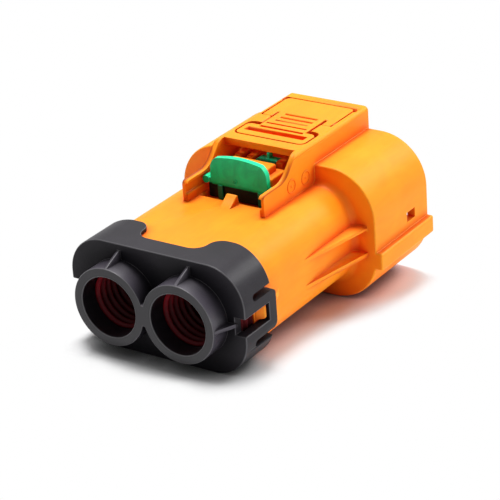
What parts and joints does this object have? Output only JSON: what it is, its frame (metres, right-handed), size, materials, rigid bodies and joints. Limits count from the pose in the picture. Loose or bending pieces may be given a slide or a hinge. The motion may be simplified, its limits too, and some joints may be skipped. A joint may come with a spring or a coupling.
{
  "type": "high voltage connector",
  "caption": "Two-pole shielded high voltage cable plug with a hooded mating end, latched rear cap, rocking latch lever and green locking slide.",
  "frame": {"origin": "middle of the part's footprint, on the plane of the hood's underside", "axes": "+X across the poles to the right seen from the cable end, +Y to the mating end, +Z to the latch side"},
  "size_m": [0.0608, 0.0846, 0.0411],
  "materials": {
    "orange_plastic": "fine moulded satin",
    "green_plastic": "satin moulded",
    "black_plastic": "fine textured",
    "red_silicone": "satin silicone",
    "insulator_plastic": "moulded satin",
    "natural_plastic": "moulded satin",
    "silver_plate": "silver plated copper alloy",
    "spring_bronze": "plated spring bronze",
    "tinned_sheet": "tin plated sheet",
    "ferrule_brass": "drawn and bright"
  },
  "bodies": {
    "housing": {"outer_housing": "orange_plastic", "rear_cap": "black_plastic", "wire_seal_left": "red_silicone", "wire_seal_right": "red_silicone", "inner_housing": "insulator_plastic", "terminal_left": "silver_plate", "terminal_right": "silver_plate", "contact_cage_left": "spring_bronze", "contact_cage_right": "spring_bronze", "terminal_lock": "natural_plastic", "shield_can": "tinned_sheet", "inner_ferrule_left": "tinned_sheet", "inner_ferrule_right": "tinned_sheet", "outer_ferrule_left": "ferrule_brass", "outer_ferrule_right": "ferrule_brass", "shield_spring_left": "spring_bronze", "shield_spring_right": "spring_bronze", "interface_seal": "red_silicone", "seal_retainer": "black_plastic", "hvil_holder": "insulator_plastic", "hvil_bridge": "silver_plate"},
    "lever": {"latch_lever": "orange_plastic"},
    "slide": {"cpa_slide": "green_plastic"}
  },
  "joints": [
    {"name": "lever_press", "type": "hinge", "parent": "housing", "child": "lever", "pos_m": [0, 0.02668, 0.04018], "axis": [1, 0, 0], "range_deg": [0, 6], "stiffness_Nm_per_rad": 2},
    {"name": "slide_release", "type": "slide", "parent": "housing", "child": "slide", "axis": [0, -1, 0], "range_m": [0, 0.0025]}
  ]
}
